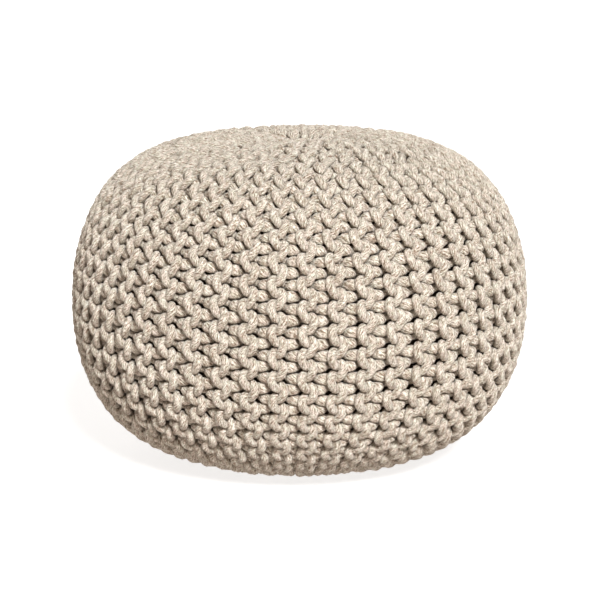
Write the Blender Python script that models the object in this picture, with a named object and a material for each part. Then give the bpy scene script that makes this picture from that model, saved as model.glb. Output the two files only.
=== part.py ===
"""Knitted pouf: a round floor cushion in thick cotton cord, knitted sideways so that
its ridges run from the gathered top centre to the gathered bottom centre.

One piece: the cover and its filling are one closed solid. Metres, +Z up. The origin
is the middle of the footprint, on the surface that the pouf stands on.
"""

import math

import bmesh
import bpy
from mathutils import Vector

# ---- driving sizes (metres) -------------------------------------------------
OUTER_RADIUS = 0.250  # over the crests of the ridges, at the widest level
HEIGHT = 0.354  # base to the highest part of the crown
WIDEST_LEVEL = 0.168  # height of the widest level above the base
BASE_SINK = 0.004  # how much of the round underside the filling's weight flattens

# ---- fullness of the turned outline -----------------------------------------
# radius = OUTER_RADIUS * (1 - |t|**square) ** (1 / full), t from 0 at the widest
# level to 1 at the pole; a larger "full" gives fatter shoulders.
CROWN = {"square": 2.15, "full": 3.70}
UNDERSIDE = {"square": 2.10, "full": 3.55}

# ---- knit --------------------------------------------------------------------
RIDGES = 52  # ridges of the garter stitch, counted around the widest level
RIDGE_DEPTH = 0.0040  # crest of a ridge to the bottom of the valley beside it
RIDGE_FADE = {"gone_at": 0.035, "whole_at": 0.120}  # radius, towards either pole

# ---- gathers -------------------------------------------------------------------
TOP_GATHER = {"width": 0.034, "depth": 0.0075, "offset_x": 0.009}
LEAN = {"whole_at": 0.060, "gone_at": 0.170}  # radius over which the gather's offset fades
PLEATS = 13  # soft pleats that the drawn stitches make around the top centre
PLEAT_DEPTH = 0.0016
PLEAT_BAND = {"middle": 0.052, "width": 0.024}

# ---- hand-filled unevenness: lobes around, lobes up, size, phase --------------
UNEVEN = (
    {"around": 2, "up": 1, "size": 0.0006, "phase": 1.6},
    {"around": 3, "up": 2, "size": 0.0004, "phase": 2.1},
    {"around": 5, "up": 1, "size": 0.0004, "phase": 4.0},
)

# ---- mesh ----------------------------------------------------------------------
PER_RIDGE = 2  # a crest and a valley
RINGS = 29  # levels from the base's edge to the top gather


def raw_outline(level):
    """Radius of the turned outline at a level, -1 (underside pole) to 1 (crown pole)."""
    shape = CROWN if level >= 0 else UNDERSIDE
    return (1.0 - min(abs(level), 1.0) ** shape["square"]) ** (1.0 / shape["full"])


def outline():
    """Points (radius, height) at even steps along the outline, base edge to top pole."""
    up, down = HEIGHT - WIDEST_LEVEL, WIDEST_LEVEL + BASE_SINK
    lowest = -(down - BASE_SINK) / down
    fine, steps = [], 4000
    start, end = math.asin(lowest), math.pi / 2
    for i in range(steps + 1):
        level = math.sin(start + (end - start) * i / steps)
        height = WIDEST_LEVEL + level * (up if level >= 0 else down)
        fine.append((OUTER_RADIUS * raw_outline(level), height))
    along = [0.0]
    for (r0, z0), (r1, z1) in zip(fine, fine[1:]):
        along.append(along[-1] + math.hypot(r1 - r0, z1 - z0))
    points, k = [], 0
    for ring in range(RINGS + 1):
        at = along[-1] * ring / RINGS
        while k < len(along) - 2 and along[k + 1] < at:
            k += 1
        part = (at - along[k]) / max(along[k + 1] - along[k], 1e-12)
        (r0, z0), (r1, z1) = fine[k], fine[k + 1]
        points.append((r0 + (r1 - r0) * part, z0 + (z1 - z0) * part))
    return points


def smooth_step(value, low, high):
    part = min(max((value - low) / (high - low), 0.0), 1.0)
    return part * part * (3.0 - 2.0 * part)


def surface_point(radius, height, turn, valley, tilt):
    """A point of the cover. tilt is (radial, upright) parts of the outward direction."""
    share = height / HEIGHT
    sink = RIDGE_DEPTH * smooth_step(radius, RIDGE_FADE["gone_at"], RIDGE_FADE["whole_at"])
    off = -sink if valley else 0.0
    if height > WIDEST_LEVEL:  # pleats around the top gather
        band = (radius - PLEAT_BAND["middle"]) / PLEAT_BAND["width"]
        off -= PLEAT_DEPTH * math.exp(-band * band) * (0.5 - 0.5 * math.cos(PLEATS * turn))
    for lobe in UNEVEN:
        off += (
            lobe["size"]
            * math.sin(math.pi * share * lobe["up"])
            * math.cos(lobe["around"] * turn + lobe["phase"])
        )
    radius += off * tilt[0]
    height += off * tilt[1]
    lean = 0.0
    if share > 0.5:  # the drawn-in middle of the top, a little to one side
        near = radius / TOP_GATHER["width"]
        height -= TOP_GATHER["depth"] * math.exp(-near * near)
        lean = 1.0 - smooth_step(radius, LEAN["whole_at"], LEAN["gone_at"])
    return Vector(
        (
            radius * math.cos(turn) + TOP_GATHER["offset_x"] * lean,
            radius * math.sin(turn),
            max(height, 0.0),
        )
    )


def build_pouf():
    """The filled pouf: rings of crests and valleys, a flat base and a gathered top."""
    line = outline()
    around = RIDGES * PER_RIDGE
    bm = bmesh.new()
    rings = []
    for ring, (radius, height) in enumerate(line[:-1]):
        r0, z0 = line[max(ring - 1, 0)]
        r1, z1 = line[ring + 1]
        long = math.hypot(r1 - r0, z1 - z0)
        tilt = ((z1 - z0) / long, (r0 - r1) / long)
        loop = []
        for i in range(around):
            turn = 2.0 * math.pi * i / around
            if ring == 0:  # the base's edge is a plain round in one plane
                place = Vector((radius * math.cos(turn), radius * math.sin(turn), 0.0))
            else:
                place = surface_point(radius, height, turn, i % PER_RIDGE == 1, tilt)
            loop.append(bm.verts.new(place))
        rings.append(loop)
    for low, high in zip(rings, rings[1:]):
        for i in range(around):
            j = (i + 1) % around
            bm.faces.new((low[i], low[j], high[j], high[i]))
    top = bm.verts.new((TOP_GATHER["offset_x"], 0.0, HEIGHT - TOP_GATHER["depth"]))
    for i in range(around):
        bm.faces.new((rings[-1][i], rings[-1][(i + 1) % around], top))
    bm.faces.new(list(reversed(rings[0])))  # the flat base
    bmesh.ops.triangulate(bm, faces=[f for f in bm.faces if len(f.verts) == 4])

    # The origin is the middle of the box's footprint, at the lowest point.
    low = Vector([min(v.co[k] for v in bm.verts) for k in range(3)])
    high = Vector([max(v.co[k] for v in bm.verts) for k in range(3)])
    shift = Vector((-(low.x + high.x) / 2, -(low.y + high.y) / 2, -low.z))
    bmesh.ops.translate(bm, verts=bm.verts, vec=shift)
    bmesh.ops.recalc_face_normals(bm, faces=bm.faces)

    mesh = bpy.data.meshes.new("pouf")
    bm.to_mesh(mesh)
    bm.free()
    mesh.shade_smooth()
    mesh.set_sharp_from_angle(angle=math.radians(50))
    return mesh


def cord_material():
    """Undyed cotton cord: warm cream, matt."""
    material = bpy.data.materials.new("cotton_cord")
    material.use_nodes = True
    shader = material.node_tree.nodes["Principled BSDF"]
    shader.inputs["Base Color"].default_value = (0.62, 0.54, 0.45, 1.0)
    shader.inputs["Roughness"].default_value = 0.92
    shader.inputs["Metallic"].default_value = 0.0
    material.diffuse_color = (0.62, 0.54, 0.45, 1.0)
    return material


def main():
    for old in list(bpy.data.objects):
        bpy.data.objects.remove(old)
    pouf = bpy.data.objects.new("pouf", build_pouf())
    pouf.data.materials.append(cord_material())
    bpy.context.scene.collection.objects.link(pouf)


main()
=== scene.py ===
"""Knitted pouf: the looks. Thick cotton cord in garter stitch, knitted sideways, so that
its ridges run from the gathered top centre to the gathered underside.

Every row of cord is a real tube with real loops. One stitch is laid out as a
short table, eased apart where two cords would share the same space, and then wound over
the turned outline of the pouf. Sizes are in millimetres in the stitch and metres after.
"""

import math

import bpy
import numpy as np
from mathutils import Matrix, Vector


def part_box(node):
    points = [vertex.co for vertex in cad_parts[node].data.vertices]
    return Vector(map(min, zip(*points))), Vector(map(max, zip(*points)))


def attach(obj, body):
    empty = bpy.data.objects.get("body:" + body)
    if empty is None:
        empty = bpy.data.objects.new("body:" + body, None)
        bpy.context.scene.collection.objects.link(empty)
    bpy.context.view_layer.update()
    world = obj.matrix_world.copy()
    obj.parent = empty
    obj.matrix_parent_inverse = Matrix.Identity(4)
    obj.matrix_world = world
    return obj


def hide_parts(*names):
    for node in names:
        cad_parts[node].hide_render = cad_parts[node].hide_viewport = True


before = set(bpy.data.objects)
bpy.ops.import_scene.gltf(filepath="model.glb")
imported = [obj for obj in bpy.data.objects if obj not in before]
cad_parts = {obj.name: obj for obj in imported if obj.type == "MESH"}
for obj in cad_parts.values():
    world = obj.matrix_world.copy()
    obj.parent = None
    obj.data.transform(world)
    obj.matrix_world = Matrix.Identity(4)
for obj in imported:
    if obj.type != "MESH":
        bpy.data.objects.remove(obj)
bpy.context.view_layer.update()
LOW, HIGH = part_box("pouf")

# ---- the turned outline, the same as the solid's -------------------------------------
OUTER_RADIUS = 0.250
HEIGHT = 0.354
WIDEST_LEVEL = 0.168
BASE_SINK = 0.004
CROWN = {"square": 2.15, "full": 3.70}
UNDERSIDE = {"square": 2.10, "full": 3.55}
TOP_GATHER = {"width": 0.034, "depth": 0.0075, "offset_x": 0.009}
LEAN = {"whole_at": 0.060, "gone_at": 0.170}
UNEVEN = (
    {"around": 2, "up": 1, "size": 0.0006, "phase": 1.6},
    {"around": 3, "up": 2, "size": 0.0004, "phase": 2.1},
    {"around": 5, "up": 1, "size": 0.0004, "phase": 4.0},
)

# ---- the knit --------------------------------------------------------------------------
RIDGES = 52
COURSE = 24.4  # mm along a ridge for one stitch
WIDE_PITCH = 30.0  # mm from ridge to ridge where the stitch table was laid out
FIRST_RIDGE = math.radians(-90 + 1.86)  # where ridge 0 stands
COURSE_LEVEL = 0.2228  # a stitch of ridge 0 starts at this height
SQUASH = 0.80  # cords lie a little flat, because each is pressed by the next
CORD_TO_CREST = 12.2  # mm from the middle of the cloth to the crest of a ridge
SIDES = 8
# Short rows: a ridge ends where the round gets too small for it, at these radii (m).
ROW_ENDS = {0: 0.009, 1: 0.100, 2: 0.061, 3: 0.143}
ROW_EASE = 0.016

# One stitch of a row whose loops show on the right of a ridge. Columns: across (mm from
# the ridge), along (share of a course, downwards), out (mm from the middle of the
# cloth), radius of the cord (mm). The other row is this one mirrored, half a course on.
LOOP = (
    # upper leg: behind the other row's cord, then up and over to the right-hand lobe
    (-7.5, 0.000, -3.0, 4.5),
    (-4.5, -0.030, -2.6, 4.5),
    (-1.6, -0.100, -1.0, 4.5),
    (1.4, -0.160, 2.0, 4.5),
    (4.4, -0.150, 5.4, 4.6),
    (6.2, -0.070, 7.6, 4.7),
    (6.3, 0.040, 8.6, 4.8),
    (5.3, 0.165, 8.9, 4.8),
    (3.4, 0.305, 8.2, 4.7),
    (0.8, 0.430, 6.2, 4.6),
    # the rod that shows in the valley
    (-3.5, 0.480, 3.0, 4.8),
    (-7.5, 0.515, 2.2, 5.6),
    (-11.5, 0.535, 2.0, 6.3),
    (-15.5, 0.530, 1.4, 6.1),
    (-18.5, 0.545, -1.6, 5.1),
    # round the back and up to the next loop
    (-19.8, 0.620, -5.6, 4.5),
    (-19.4, 0.740, -7.6, 4.5),
    (-17.5, 0.860, -8.2, 4.5),
    (-14.5, 0.950, -7.4, 4.5),
    (-11.0, 0.990, -4.8, 4.5),
)
LOBE_REACH = 6.2  # mm, how far a lobe's middle stands from the ridge's line
PITCHES = (11.0, 14.0, 17.0, 20.0, 25.0, 30.0, 36.0)
FINE = 60  # points of a stitch while it is eased
# How many points each of the table's gaps gets in the finished cord.
POINTS = (1, 1, 1, 2, 2, 1, 2, 1, 2, 1, 1, 1, 1, 1, 1, 1, 1, 1, 1, 1)

rng = np.random.default_rng(20)


# ---- one stitch --------------------------------------------------------------------------
def periodic_curve(table, at):
    """Centripetal curve through a table that repeats one course further on."""
    step = np.array([0.0, COURSE, 0.0, 0.0])
    m = len(table)

    def row(i):
        return table[i % m] + step * (i // m)

    out = []
    for t in at:
        i = int(math.floor(t))
        p0, p1, p2, p3 = row(i - 1), row(i), row(i + 1), row(i + 2)
        k0 = 0.0
        k1 = k0 + np.linalg.norm((p1 - p0)[:3]) ** 0.5
        k2 = k1 + np.linalg.norm((p2 - p1)[:3]) ** 0.5
        k3 = k2 + np.linalg.norm((p3 - p2)[:3]) ** 0.5
        k = k1 + (k2 - k1) * (t - i)
        a1 = (k1 - k) / (k1 - k0) * p0 + (k - k0) / (k1 - k0) * p1
        a2 = (k2 - k) / (k2 - k1) * p1 + (k - k1) / (k2 - k1) * p2
        a3 = (k3 - k) / (k3 - k2) * p2 + (k - k2) / (k3 - k2) * p3
        b1 = (k2 - k) / (k2 - k0) * a1 + (k - k0) / (k2 - k0) * a2
        b2 = (k3 - k) / (k3 - k1) * a2 + (k - k1) / (k3 - k1) * a3
        out.append((k2 - k) / (k2 - k1) * b1 + (k - k1) / (k2 - k1) * b2)
    return np.array(out)


def mirrored(points):
    """The other row of the ridge: the same loop mirrored and half a course further on."""
    return points * np.array([-1.0, 1.0, 1.0, 1.0]) + np.array([0, COURSE / 2, 0, 0])


def narrowed(across, pitch):
    """Where a point lies across a ridge when ridges stand closer: valleys close first."""
    side, far = np.sign(across), np.abs(across)
    reach = min(LOBE_REACH, 0.285 * pitch)
    half, wide_half = pitch / 2, WIDE_PITCH / 2
    near = far * reach / LOBE_REACH
    valley = reach + (far - LOBE_REACH) * (half - reach) / (wide_half - LOBE_REACH)
    past = half + (far - wide_half) * reach / LOBE_REACH
    return side * np.where(far < LOBE_REACH, near, np.where(far < wide_half, valley, past))


def eased_stitch(pitch, steps=60):
    """The stitch at a ridge spacing, with cords that would share space eased apart."""
    table = np.array(LOOP, float)
    table[:, 1] *= COURSE
    table[:, 0] = narrowed(table[:, 0], pitch)
    fill = min(max((29.0 - pitch) / 9.0, 0.0), 1.0)  # crowded ridges push their rods outwards
    table[9:15, 2] += np.array([0.0, 0.2, 0.7, 1.0, 0.7, 0.2]) * fill
    table[:, 3] *= 1 + 0.04 * fill * min(max((pitch - 18.0) / 5.0, 0.0), 1.0)
    table[:, 2] = np.where(table[:, 2] > 4, 4 + (table[:, 2] - 4) * (1 - 0.06 * fill), table[:, 2])
    table[:, 2] /= SQUASH
    if pitch < 22:  # crowded cords are pulled a little thinner
        table[:, 3] *= 0.84 + 0.16 * (pitch - 11) / 11
    points = periodic_curve(table, np.arange(FINE) * len(LOOP) / FINE)
    wanted = points.copy()
    number = np.arange(FINE)
    for _ in range(steps):
        push, count = np.zeros((FINE, 3)), np.zeros(FINE)
        for own, other in ((True, points), (False, mirrored(points))):
            for a in (-1, 0, 1):
                for b in (-1, 0, 1):
                    near = other + np.array([a * pitch, b * COURSE, 0, 0])
                    gap = points[:, None, :3] - near[None, :, :3]
                    far = np.linalg.norm(gap, axis=2) + 1e-9
                    need = (points[:, None, 3] + near[None, :, 3]) * 0.60
                    close = far < need
                    if own and a == 0:  # neighbours along the same cord may be close
                        close &= np.abs(number[:, None] - number[None, :] - b * FINE) > 10
                    if close.any():
                        share = np.where(close, (need - far) / far * 0.5, 0.0)
                        push += (gap * share[:, :, None]).sum(1)
                        count += close.sum(1)
        points[:, :3] += push / np.maximum(count, 1)[:, None]
        step = np.array([0, COURSE, 0, 0])
        line = np.vstack([points[-2:] - step, points, points[:2] + step])
        smooth = (-line[:-4] + 4 * line[1:-3] + 4 * line[3:-1] - line[4:]) / 6.0
        points[:, :3] += 0.35 * (smooth - points)[:, :3]
        points[:, :3] += 0.3 * (wanted - points)[:, :3] * np.array([1, 1, 0.3])
    return points


def finished_stitch(pitch):
    """Cord middle line (n, 4) and the ring of points around it (n, SIDES, 3), in mm."""
    fine = eased_stitch(pitch)
    at, n = [], len(LOOP)
    for i, count in enumerate(POINTS):
        at += [(i + j / count) * FINE / n for j in range(count)]
    step = np.array([0.0, COURSE, 0.0, 0.0])

    def sample(where):
        i = np.floor(where).astype(int)
        part = (where - i)[:, None]
        rows = [fine[(i + k) % FINE] + step * ((i + k) // FINE)[:, None] for k in (-1, 0, 1, 2)]
        p0, p1, p2, p3 = rows
        return 0.5 * (
            2 * p1
            + (p2 - p0) * part
            + (2 * p0 - 5 * p1 + 4 * p2 - p3) * part**2
            + (3 * p1 - 3 * p2 + p3 - p0) * part**3
        )

    at = np.array(at, float)
    middle = sample(at)
    ahead, behind = sample(at + 0.4), sample(at - 0.4)
    along = (ahead - behind)[:, :3]
    along /= np.linalg.norm(along, axis=1, keepdims=True)
    # a frame carried along the cord without twist, then closed over the course
    turn = np.zeros_like(along)
    first = np.cross(along[0], [0.0, 0.0, 1.0])
    turn[0] = first / np.linalg.norm(first)
    for i in range(1, len(at)):
        v = turn[i - 1] - along[i] * (turn[i - 1] @ along[i])
        turn[i] = v / np.linalg.norm(v)
    last = turn[-1] - along[0] * (turn[-1] @ along[0])
    last /= np.linalg.norm(last)
    twist = math.atan2(np.cross(last, turn[0]) @ along[0], last @ turn[0])
    side = np.cross(along, turn)
    rings = np.zeros((len(at), SIDES, 3))
    for i in range(len(at)):
        for j in range(SIDES):
            angle = 2 * math.pi * j / SIDES + twist * i / len(at)
            rings[i, j] = middle[i, 3] * (math.cos(angle) * turn[i] + math.sin(angle) * side[i])
    middle[:, 2] *= SQUASH
    rings[:, :, 2] *= SQUASH
    return middle, rings


STITCHES = [finished_stitch(pitch) for pitch in PITCHES]
PER_COURSE = len(STITCHES[0][0])


# ---- the surface -----------------------------------------------------------------------
def outline_table():
    """Radius, height and outward direction along the outline, by length from the top."""
    rows = []

    def add(shape, height_of):
        flat = [(r, (1 - r ** shape["full"]) ** (1 / shape["square"])) for r in np.linspace(0, 0.9, 500)]
        steep_from = flat[-1][1]
        steep = [
            ((1 - t ** shape["square"]) ** (1 / shape["full"]), t)
            for t in np.linspace(steep_from, 0, 500)[1:]
        ]
        return [(OUTER_RADIUS * r, height_of(t)) for r, t in flat + steep]

    up, down = HEIGHT - WIDEST_LEVEL, WIDEST_LEVEL + BASE_SINK
    rows += add(CROWN, lambda t: WIDEST_LEVEL + t * up)
    rows += add(UNDERSIDE, lambda t: WIDEST_LEVEL - t * down)[::-1][1:]
    table = np.array(rows)
    soft = 0.004  # the underside flattens on to the floor with a soft bend
    h = table[:, 1]
    table[:, 1] = 0.5 * (h + np.sqrt(h * h + soft * soft)) - 0.5 * (np.sqrt(h * h + soft * soft) - np.abs(h))
    low = h < 3 * soft
    table[low, 1] = 0.5 * (h[low] + np.sqrt(h[low] ** 2 + soft * soft))
    length = np.concatenate([[0], np.cumsum(np.linalg.norm(np.diff(table, axis=0), axis=1))])
    even = np.linspace(0, length[-1], 1600)
    r, z = np.interp(even, length, table[:, 0]), np.interp(even, length, table[:, 1])
    dr, dz = np.gradient(r, even), np.gradient(z, even)
    size = np.hypot(dr, dz)
    out = np.stack([-dz / size, dr / size], 1)
    kernel = np.hanning(31)
    kernel /= kernel.sum()
    pad = np.vstack([out[:1].repeat(15, 0), out, out[-1:].repeat(15, 0)])
    out = np.stack([np.convolve(pad[:, k], kernel, "valid") for k in range(2)], 1)
    out /= np.linalg.norm(out, axis=1, keepdims=True)
    return even, r, z, out


LENGTH, OUT_R, OUT_Z, OUT_DIR = outline_table()


def smooth_step(value, low, high):
    part = np.clip((value - low) / (high - low), 0.0, 1.0)
    return part * part * (3.0 - 2.0 * part)


def outline_at(length):
    """Radius, height, and outward direction, at lengths from the top (m)."""
    length = np.clip(length, 0, LENGTH[-1])
    return (
        np.interp(length, LENGTH, OUT_R),
        np.interp(length, LENGTH, OUT_Z),
        np.interp(length, LENGTH, OUT_DIR[:, 0]),
        np.interp(length, LENGTH, OUT_DIR[:, 1]),
    )


def place(length, turn, out):
    """World points. length from the top (m), turn (rad), out from the crest level (m)."""
    r, z, nr, nz = outline_at(length)
    lumps = 0.0
    for lobe in UNEVEN:
        lumps = lumps + lobe["size"] * np.sin(math.pi * z / HEIGHT * lobe["up"]) * np.cos(
            lobe["around"] * turn + lobe["phase"]
        )
    out = out + lumps
    radius, height = r + out * nr, z + out * nz
    top = (z / HEIGHT > 0.5).astype(float)
    height = height - top * TOP_GATHER["depth"] * np.exp(-((r / TOP_GATHER["width"]) ** 2))
    lean = top * (1 - smooth_step(r, LEAN["whole_at"], LEAN["gone_at"]))
    return np.stack(
        [radius * np.cos(turn) + TOP_GATHER["offset_x"] * lean, radius * np.sin(turn), height], -1
    )


# ---- ridges and short rows -----------------------------------------------------------------
def row_weights(r):
    """How much room each of the four kinds of ridge takes at a radius, 0 to 1."""
    return np.stack(
        [smooth_step(r, ROW_ENDS[k] - ROW_EASE, ROW_ENDS[k] + ROW_EASE) if k else np.ones_like(r) for k in range(4)],
        -1,
    )


def ridge_angles(r, ridge):
    """Middle of a ridge and half its width, as angles from ridge 0, at radii."""
    weights = row_weights(r)
    group = weights.sum(-1)
    kind = ridge % 4
    before = sum(weights[..., k] for k in range(kind)) if kind else 0.0
    unit = 2 * math.pi / (RIDGES / 4 * group)
    middle = (ridge // 4) * 2 * math.pi / (RIDGES / 4) + unit * (before + weights[..., kind] / 2)
    # the first ridge's own middle is where the count starts
    return middle - math.pi / RIDGES, unit * np.maximum(weights[..., kind], 0.35) / 2


def lattice(n_around, n_along, seed):
    return np.random.default_rng(seed).uniform(-1, 1, (n_around, n_along))


def smooth_noise(grid, around, along):
    """Bilinear value noise with eased steps. around wraps."""
    i, j = np.floor(around).astype(int), np.floor(along).astype(int)
    fi, fj = around - i, along - j
    fi, fj = fi * fi * (3 - 2 * fi), fj * fj * (3 - 2 * fj)
    n, m = grid.shape
    a, b = grid[i % n, j % m], grid[(i + 1) % n, j % m]
    c, d = grid[i % n, (j + 1) % m], grid[(i + 1) % n, (j + 1) % m]
    return (a * (1 - fi) + b * fi) * (1 - fj) + (c * (1 - fi) + d * fi) * fj


STITCH_NOISE = [lattice(RIDGES, 40, 100 + k) for k in range(3)]
PATCH_NOISE = [lattice(13, 9, 200 + k) for k in range(3)]
START_LENGTH = np.interp(-COURSE_LEVEL, -OUT_Z[:900], LENGTH[:900])


def row_span(ridge, shows_right):
    """First and last length from the top (m) of a ridge's row."""
    kind = ridge % 4
    end = ROW_ENDS[kind] + (0.0 if shows_right else 0.004)
    if kind:
        end -= 0.009  # its last stitches go down between its neighbours
    else:  # at the drawn-in centre there is room for only some of the rows
        end += (0.0 if shows_right else 0.010) + (0.007 if ridge % 8 else 0.0)
    half = len(LENGTH) // 2
    first = np.interp(end, OUT_R[:half], LENGTH[:half])
    last = np.interp(-end, -OUT_R[half:], LENGTH[half:])
    return first, last


def make_row(ridge, shows_right):
    """Vertices (n, SIDES, 3) of one row of cord, and its length coordinate (n)."""
    kind = ridge % 4
    first, last = row_span(ridge, shows_right)
    drop = COURSE / 1000 * ridge / RIDGES
    begin = START_LENGTH + drop
    shift = 0.0 if shows_right else COURSE / 2000
    low = math.floor((first - begin - shift) / (COURSE / 1000)) - 1
    high = math.ceil((last - begin - shift) / (COURSE / 1000)) + 1
    courses = np.repeat(np.arange(low, high), PER_COURSE)
    index = np.tile(np.arange(PER_COURSE), high - low)
    # interpolate the stitch by the ridge spacing where each point lies
    rough = begin + shift + courses * COURSE / 1000 + STITCHES[5][0][index, 1] / 1000
    kept = slice(np.argmax(rough >= first), len(rough) - np.argmax(rough[::-1] <= last))
    courses, index, rough = courses[kept], index[kept], rough[kept]
    r = outline_at(rough)[0]
    _, half = ridge_angles(r, ridge)
    pitch = np.clip(2000 * half * r, PITCHES[0], PITCHES[-1])
    squeeze = np.clip(np.sqrt(2000 * half * r / PITCHES[0]), 0.62, 1.0)
    slot = np.clip(np.searchsorted(PITCHES, pitch) - 1, 0, len(PITCHES) - 2)
    lows, highs = np.array(PITCHES)[slot], np.array(PITCHES)[slot + 1]
    share = ((pitch - lows) / (highs - lows))[:, None]
    middles = np.stack([s[0] for s in STITCHES])
    rings = np.stack([s[1] for s in STITCHES])
    middle = middles[slot, index] * (1 - share) + middles[slot + 1, index] * share
    ring = rings[slot, index] * (1 - share[:, :, None]) + rings[slot + 1, index] * share[:, :, None]
    if not shows_right:
        middle = middle * np.array([-1, 1, 1, 1])
        ring = ring * np.array([-1, 1, 1])
    own = rng.uniform(-1, 1, (high - low + 1, 3))
    part = index / PER_COURSE
    swing = own[courses - low] * (1 - part)[:, None] + own[courses - low + 1] * part[:, None]
    base = begin + shift + courses * COURSE / 1000
    flat = np.stack([middle[:, 0], middle[:, 1], middle[:, 2]], 1)
    loose = np.clip((pitch - 10) / 12, 0.3, 1.0)
    flat[:, 0] *= 1 + 0.05 * swing[:, 0]
    flat[:, 1] += 0.35 * swing[:, 1] * loose
    flat[:, 2] += 0.25 * swing[:, 2]
    points = flat[:, None, :] + ring * (squeeze[:, None, None] * (1 + 0.025 * swing[:, None, 2:3]))
    # shared unevenness, so that cords that touch move together
    around = ridge + points[..., 0] / pitch[:, None]
    along = (base[:, None] * 1000 + points[..., 1]) / COURSE
    fine = [smooth_noise(g, around, along + 7) for g in STITCH_NOISE]
    broad = [smooth_noise(g, around / 4, along / 5 + 1) for g in PATCH_NOISE]
    across = points[..., 0] + (0.8 * fine[0] + 1.3 * broad[0]) * loose[:, None]
    down = points[..., 1] + (0.8 * fine[1] + 1.0 * broad[1]) * loose[:, None]
    out = points[..., 2] + 0.55 * fine[2] + 0.5 * broad[2]
    length = base[:, None] + down / 1000
    r = outline_at(length)[0]
    middle_angle, half = ridge_angles(r, ridge)
    angle = middle_angle + across / (pitch[:, None] / 2) * half
    # a row's ends are drawn inwards
    ends = np.minimum(length - length.min(), length.max() - length)
    sink = (1 - smooth_step(ends, 0.0, 0.016)) * (0.010 if kind == 0 else 0.013)
    lift = (out - CORD_TO_CREST) / 1000 - sink
    world = place(length, FIRST_RIDGE + angle, lift)
    return world


def cord_length(world):
    line = world.mean(1)
    return np.concatenate([[0], np.cumsum(np.linalg.norm(np.diff(line, axis=0), axis=1))])


# ---- meshes ------------------------------------------------------------------------------
def tube_faces(n, offset):
    i = np.arange(n - 1)[:, None] * SIDES
    j = np.arange(SIDES)[None, :]
    k = (j + 1) % SIDES
    return (np.stack([i + j, i + k, i + SIDES + k, i + SIDES + j], -1) + offset).reshape(-1, 4)


def build_mesh(name, rows, flipped):
    """One mesh of several tubes with closed ends, smooth shaded, with its bake UV map and its cord_space attribute.
    """
    vertices, quads, ends, cord, uvs = [], [], [], [], []
    lanes = []
    offset = 0
    for row, flip in zip(rows, flipped):
        n = len(row)
        vertices.append(row.reshape(-1, 3))
        faces = tube_faces(n, offset)
        if flip:
            faces = faces[:, ::-1]
        quads.append(faces)
        long = cord_length(row)
        lanes.append(long)
        angle = 2 * math.pi * np.arange(SIDES) / SIDES
        radius = 0.0046
        local = np.zeros((n, SIDES, 3))
        local[..., 0] = (long + rng.uniform(0, 5))[:, None]
        local[..., 1] = radius * np.cos(angle)[None, :]
        local[..., 2] = radius * np.sin(angle)[None, :] * (-1 if flip else 1)
        cord.append(local.reshape(-1, 3))
        first = list(range(offset, offset + SIDES))
        last = list(range(offset + (n - 1) * SIDES, offset + n * SIDES))
        if flip:
            ends += [first, last[::-1]]
        else:
            ends += [first[::-1], last]
        offset += n * SIDES
    vertices = np.vstack(vertices)
    quads = np.vstack(quads)
    mesh = bpy.data.meshes.new(name)
    mesh.vertices.add(len(vertices))
    mesh.vertices.foreach_set("co", vertices.astype(np.float32).ravel())
    loops = np.concatenate([quads.ravel(), np.array(ends).ravel()])
    starts = np.concatenate([np.arange(len(quads)) * 4, len(quads) * 4 + np.arange(len(ends)) * SIDES])
    mesh.loops.add(len(loops))
    mesh.loops.foreach_set("vertex_index", loops.astype(np.int32))
    mesh.polygons.add(len(starts))
    mesh.polygons.foreach_set("loop_start", starts.astype(np.int32))
    mesh.update(calc_edges=True)
    mesh.shade_smooth()
    attribute = mesh.attributes.new("cord_space", "FLOAT_VECTOR", "POINT")
    attribute.data.foreach_set("vector", np.vstack(cord).astype(np.float32).ravel())
    layout = bake_layout(lanes, [len(r) for r in rows], flipped, len(ends))
    layer = mesh.uv_layers.new(name="OFBake")
    layer.data.foreach_set("uv", layout.astype(np.float32).ravel())
    mesh.validate()
    return mesh


def bake_layout(lanes, counts, flipped, n_ends):
    """Lays every cord out flat in strips, so that nothing overlaps. One row of UVs a corner."""
    around = 2 * math.pi * 0.0046 * 0.95
    gap = 1.16  # strip pitch over strip height
    # the strip height in UV that lets everything fit
    n_strips = 10
    while True:
        height = 1.0 / n_strips / gap
        scale = height / around
        need = sum(math.ceil(l[-1] * scale / 0.97 + 0.12) for l in lanes)
        if need < n_strips:
            break
        n_strips += 1
    result = []
    strip, left = 0, 0.0
    for long, n, flip in zip(lanes, counts, flipped):
        u0 = np.zeros(n - 1)
        u1 = np.zeros(n - 1)
        v0 = np.zeros(n - 1)
        at = 0.01
        for i in range(n - 1):
            size = (long[i + 1] - long[i]) * scale
            if at + size > 0.985:
                strip += 1
                at = 0.01
            u0[i], u1[i], v0[i] = at, at + size, strip / n_strips + 0.08 / n_strips
            at += size
        strip += 1
        j = np.arange(SIDES) / SIDES * height
        k = (np.arange(SIDES) + 1) / SIDES * height
        low = v0[:, None] + j[None, :]
        high = v0[:, None] + k[None, :]
        a = np.stack([u0[:, None] + 0 * low, low], -1)
        b = np.stack([u0[:, None] + 0 * low, high], -1)
        c = np.stack([u1[:, None] + 0 * low, high], -1)
        d = np.stack([u1[:, None] + 0 * low, low], -1)
        corners = [a, b, c, d]
        if flip:
            corners = corners[::-1]
        result.append(np.stack(corners, 2).reshape(-1, 2))
    caps = []
    size = 0.3 / n_strips
    for e in range(n_ends):
        angle = 2 * math.pi * np.arange(SIDES) / SIDES
        x = 0.02 + (e + 0.5) * 0.9 / n_ends
        y = 1 - 0.5 / n_strips
        caps.append(np.stack([x + size * 0.35 * np.cos(angle), y + size * np.sin(angle)], -1))
    return np.vstack(result + caps)


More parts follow.
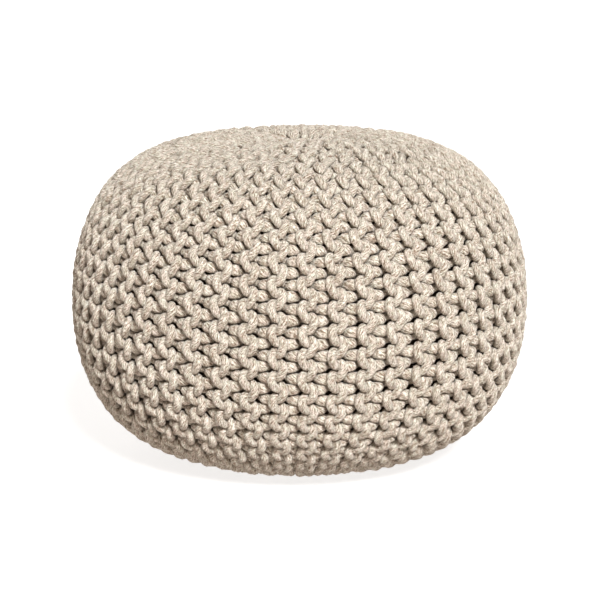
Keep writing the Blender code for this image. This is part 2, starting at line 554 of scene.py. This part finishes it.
# ---- material -------------------------------------------------------------------------------
def cotton_cord(name, shade_paint=1.0):
    """Undyed cotton: cream marl, twisted plies with painted shade in the grooves between them, flecks, soft sheen,
    matt and hairy; a darkening below 1 adds painted brown shade all over.
    """
    material = bpy.data.materials.new(name)
    material.use_nodes = True
    nodes, links = material.node_tree.nodes, material.node_tree.links
    shader = nodes["Principled BSDF"]

    def node(kind, **values):
        made = nodes.new(kind)
        for key, value in values.items():
            setattr(made, key, value)
        return made

    def math_node(operation, a, b=None):
        made = node("ShaderNodeMath", operation=operation)
        for socket, value in zip(made.inputs, (a, b)):
            if value is None:
                continue
            if isinstance(value, (int, float)):
                socket.default_value = value
            else:
                links.new(value, socket)
        return made.outputs[0]

    def noise(vector, scale, detail=3.0, rough=0.55):
        made = node("ShaderNodeTexNoise")
        made.inputs["Scale"].default_value = scale
        made.inputs["Detail"].default_value = detail
        made.inputs["Roughness"].default_value = rough
        links.new(vector, made.inputs["Vector"])
        return made.outputs["Fac"]

    def ramp(factor, stops):
        made = node("ShaderNodeValToRGB")
        line = made.color_ramp.elements
        while len(line) < len(stops):
            line.new(0.5)
        for element, (at, colour) in zip(line, stops):
            element.position = at
            element.color = (*colour, 1.0)
        links.new(factor, made.inputs["Fac"])
        return made.outputs["Color"]

    def mix(kind, factor, a, b):
        made = node("ShaderNodeMix", data_type="RGBA", blend_type=kind)
        if isinstance(factor, (int, float)):
            made.inputs["Factor"].default_value = factor
        else:
            links.new(factor, made.inputs["Factor"])
        for socket, value in (("A", a), ("B", b)):
            target = [s for s in made.inputs if s.name == socket and s.type == "RGBA"][0]
            if isinstance(value, tuple):
                target.default_value = (*value, 1.0)
            else:
                links.new(value, target)
        return [s for s in made.outputs if s.type == "RGBA"][0]

    place_node = node("ShaderNodeAttribute", attribute_name="cord_space")
    split = node("ShaderNodeSeparateXYZ")
    links.new(place_node.outputs["Vector"], split.inputs[0])
    along = split.outputs[0]
    # twist the cord's own space, so that fibres and plies wind round it
    lay = 0.030
    twist = node("ShaderNodeVectorRotate", rotation_type="X_AXIS")
    links.new(place_node.outputs["Vector"], twist.inputs["Vector"])
    links.new(math_node("MULTIPLY", along, 2 * math.pi / lay), twist.inputs["Angle"])
    twisted = node("ShaderNodeSeparateXYZ")
    links.new(twist.outputs[0], twisted.inputs[0])
    angle = math_node("ARCTAN2", twisted.outputs[2], twisted.outputs[1])
    plies = math_node("ABSOLUTE", math_node("SINE", math_node("MULTIPLY", angle, 4.0)))
    ply_hill = math_node("POWER", plies, 0.6)
    # fibres are long along the ply and short across it
    stretch = node("ShaderNodeVectorMath", operation="MULTIPLY")
    links.new(twist.outputs[0], stretch.inputs[0])
    stretch.inputs[1].default_value = (0.5, 1.0, 1.0)
    fibre = noise(stretch.outputs[0], 1100.0, 3.0, 0.6)
    fleck = noise(stretch.outputs[0], 760.0, 2.0, 0.6)
    fleck_two = noise(place_node.outputs["Vector"], 900.0, 1.0, 0.5)
    tint = noise(place_node.outputs["Vector"], 330.0, 1.0, 0.5)
    slow = noise(place_node.outputs["Vector"], 55.0, 2.0, 0.5)

    tone = ramp(
        fleck,
        [
            (0.34, (0.28, 0.21, 0.155)),
            (0.44, (0.57, 0.505, 0.43)),
            (0.52, (0.75, 0.70, 0.635)),
            (0.64, (0.95, 0.92, 0.87)),
        ],
    )
    tone = mix("MULTIPLY", 0.6, tone, ramp(fleck_two, [(0.37, (0.42, 0.36, 0.31)), (0.50, (1.0, 1.0, 1.0))]))
    tone = mix("MULTIPLY", 0.8, tone, ramp(tint, [(0.38, (1.0, 0.95, 0.93)), (0.62, (0.955, 1.0, 0.95))]))
    # painted shade: colour darkened in the low grooves between the plies
    tone = mix("MULTIPLY", 0.22, tone, ramp(ply_hill, [(0.10, (0.60, 0.55, 0.49)), (0.60, (1.0, 1.0, 1.0))]))
    tone = mix("MULTIPLY", 0.4, tone, ramp(slow, [(0.35, (0.86, 0.83, 0.80)), (0.65, (1.0, 1.0, 1.0))]))
    # painted shade: below 1 the whole colour is darkened and browned, for a body seen only in the shade of the gaps
    if shade_paint < 1.0:
        tone = mix("MULTIPLY", 1.0, tone, (shade_paint, shade_paint * 0.80, shade_paint * 0.62))
    links.new(tone, shader.inputs["Base Color"])
    rough = node("ShaderNodeMapRange")
    links.new(fibre, rough.inputs["Value"])
    rough.inputs["To Min"].default_value = 0.78
    rough.inputs["To Max"].default_value = 0.98
    links.new(rough.outputs[0], shader.inputs["Roughness"])
    shader.inputs["Sheen Weight"].default_value = 0.25
    shader.inputs["Sheen Roughness"].default_value = 0.45
    shader.inputs["Specular IOR Level"].default_value = 0.25
    relief = math_node("ADD", math_node("MULTIPLY", ply_hill, 0.45), math_node("MULTIPLY", fibre, 1.8))
    bump = node("ShaderNodeBump")
    bump.inputs["Strength"].default_value = 1.0
    bump.inputs["Distance"].default_value = 0.0009
    links.new(relief, bump.inputs["Height"])
    links.new(bump.outputs[0], shader.inputs["Normal"])
    return material


# ---- pieces -----------------------------------------------------------------------------------
cord = cotton_cord("cotton_cord")
all_rows = {}
for ridge in range(RIDGES):
    for shows_right in (True, False):
        all_rows[ridge, shows_right] = make_row(ridge, shows_right)

everything = np.vstack([row.reshape(-1, 3) for row in all_rows.values()])
box_low, box_high = everything.min(0), everything.max(0)
shift = np.array(
    [
        (LOW.x + HIGH.x - box_low[0] - box_high[0]) / 2,
        (LOW.y + HIGH.y - box_low[1] - box_high[1]) / 2,
        LOW.z - box_low[2],
    ]
)

pieces = []
for wedge in range(RIDGES // 4):
    rows, flips = [], []
    for ridge in range(wedge * 4, wedge * 4 + 4):
        for shows_right in (True, False):
            rows.append(all_rows[ridge, shows_right] + shift)
            flips.append(not shows_right)
    name = f"knit_wedge_{wedge + 1:02d}"
    mesh = build_mesh(name, rows, flips)
    mesh.materials.append(cord)
    piece = bpy.data.objects.new(name, mesh)
    bpy.context.scene.collection.objects.link(piece)
    pieces.append(piece)


def backing_mesh(name, depth):
    """The filled body behind the loops: what shows through the gaps, its colour darkened and browned as painted
    shade.
    """
    around, down = 104, 46
    line = np.linspace(0.004, LENGTH[-1] - 0.004, down)
    turn = 2 * math.pi * np.arange(around) / around
    grid = place(line[:, None] + 0 * turn[None, :], turn[None, :] + 0 * line[:, None], -depth)
    grid = grid + shift
    grid[..., 2] = np.maximum(grid[..., 2], 0.0125)
    vertices = np.vstack([grid.reshape(-1, 3), grid[0].mean(0)[None], grid[-1].mean(0)[None]])
    faces = []
    for i in range(down - 1):
        for j in range(around):
            k = (j + 1) % around
            a, b = i * around, (i + 1) * around
            faces.append((a + j, b + j, b + k, a + k))
    top, low = down * around, down * around + 1
    for j in range(around):
        k = (j + 1) % around
        faces.append((top, j, k))
        faces.append((low, (down - 1) * around + k, (down - 1) * around + j))
    mesh = bpy.data.meshes.new(name)
    mesh.from_pydata(vertices.tolist(), [], faces)
    mesh.shade_smooth()
    attribute = mesh.attributes.new("cord_space", "FLOAT_VECTOR", "POINT")
    attribute.data.foreach_set("vector", vertices.astype(np.float32).ravel())
    return mesh


backing = bpy.data.objects.new("knit_backing", backing_mesh("knit_backing", 0.0215))
# painted shade: the backing gets the cord colour darkened and browned to 0.35
backing.data.materials.append(cotton_cord("cotton_in_shade", shade_paint=0.35))
bpy.context.scene.collection.objects.link(backing)
pieces.append(backing)

for piece in pieces:
    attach(piece, "root")
    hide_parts("pouf")

# ---- floor, light, camera -----------------------------------------------------------------------
floor_mesh = bpy.data.meshes.new("floor")
half = 21.0
floor_mesh.from_pydata(
    [(-half, -half, 0), (half, -half, 0), (half, half, 0), (-half, half, 0)], [], [(0, 1, 2, 3)]
)
floor = bpy.data.objects.new("floor", floor_mesh)
floor.location.z = LOW.z - 0.0002
paint = bpy.data.materials.new("pale_floor")
paint.use_nodes = True
paint.node_tree.nodes["Principled BSDF"].inputs["Base Color"].default_value = (0.44, 0.44, 0.44, 1)
paint.node_tree.nodes["Principled BSDF"].inputs["Roughness"].default_value = 0.9
paint.node_tree.nodes["Principled BSDF"].inputs["Emission Color"].default_value = (1, 1, 1, 1)
paint.node_tree.nodes["Principled BSDF"].inputs["Emission Strength"].default_value = 0.64
floor_mesh.materials.append(paint)
bpy.context.scene.collection.objects.link(floor)
floor.visible_diffuse = False  # its own brightness doesn't light the knit from below;
floor.visible_shadow = False  # the soft light named bounce does that instead

# a plain white backdrop all round, beyond the floor's middle; it only shows, and lights nothing
rings, around, far = 8, 32, 20.0
dome = [
    (
        far * math.cos(math.pi / 2 * i / rings) * math.cos(2 * math.pi * j / around),
        far * math.cos(math.pi / 2 * i / rings) * math.sin(2 * math.pi * j / around),
        far * math.sin(math.pi / 2 * i / rings) - 0.05,
    )
    for i in range(rings)
    for j in range(around)
] + [(0.0, 0.0, far)]
dome_faces = [
    (i * around + j, i * around + (j + 1) % around, (i + 1) * around + (j + 1) % around, (i + 1) * around + j)
    for i in range(rings - 1)
    for j in range(around)
] + [((rings - 1) * around + j, (rings - 1) * around + (j + 1) % around, rings * around) for j in range(around)]
backdrop_mesh = bpy.data.meshes.new("backdrop")
backdrop_mesh.from_pydata(dome, [], dome_faces)
backdrop = bpy.data.objects.new("backdrop", backdrop_mesh)
white = bpy.data.materials.new("white_backdrop")
white.use_nodes = True
white.node_tree.nodes["Principled BSDF"].inputs["Base Color"].default_value = (0, 0, 0, 1)
white.node_tree.nodes["Principled BSDF"].inputs["Specular IOR Level"].default_value = 0.0
white.node_tree.nodes["Principled BSDF"].inputs["Emission Color"].default_value = (1, 1, 1, 1)
white.node_tree.nodes["Principled BSDF"].inputs["Emission Strength"].default_value = 1.05
backdrop_mesh.materials.append(white)
bpy.context.scene.collection.objects.link(backdrop)
backdrop.visible_diffuse = backdrop.visible_glossy = backdrop.visible_shadow = False

world = bpy.data.worlds.new("studio")
bpy.context.scene.world = world
world.use_nodes = True
world.node_tree.nodes["Background"].inputs[0].default_value = (1.0, 0.88, 0.78, 1.0)
world.node_tree.nodes["Background"].inputs[1].default_value = 0.35


def soft_sun(name, direction, strength, spread, colour=(1.0, 1.0, 1.0)):
    """A broad even light, as from a large softbox. direction points towards it."""
    light = bpy.data.lights.new(name, "SUN")
    light.energy = strength
    light.angle = math.radians(spread)
    light.color = colour
    made = bpy.data.objects.new(name, light)
    made.location = Vector(direction).normalized() * 3.0
    made.rotation_euler = Vector(direction).to_track_quat("Z", "Y").to_euler()
    bpy.context.scene.collection.objects.link(made)
    return made


soft_sun("key", (0.30, -1.0, 0.80), 3.4, 14.0, (1.0, 1.0, 0.995))
soft_sun("bounce", (-0.1, -1.0, -0.7), 0.84, 70.0, (1.0, 0.88, 0.82))
soft_sun("back", (-0.15, 1.0, 0.10), 1.15, 60.0, (1.0, 0.99, 0.98))

camera_data = bpy.data.cameras.new("camera")
camera = bpy.data.objects.new("camera", camera_data)
bpy.context.scene.collection.objects.link(camera)
tilt = math.radians(12.0)
away = 2.0
focal_px = 1805.0
target = Vector((0.0, 0.0, 0.168))
camera.location = target + Vector((0.0, -away * math.cos(tilt), away * math.sin(tilt)))
camera.rotation_euler = (math.pi / 2 - tilt, 0.0, 0.0)
camera_data.sensor_width = 36.0
camera_data.lens = 36.0 * focal_px / 600.0
camera_data.shift_x = (300.0 - 299.1) / 600.0
camera_data.shift_y = (298.1 - 300.0) / 600.0
camera_data.clip_end = 50.0
bpy.context.scene.camera = camera
bpy.context.scene.view_settings.view_transform = "Standard"
bpy.context.scene.view_settings.look = "Medium High Contrast"
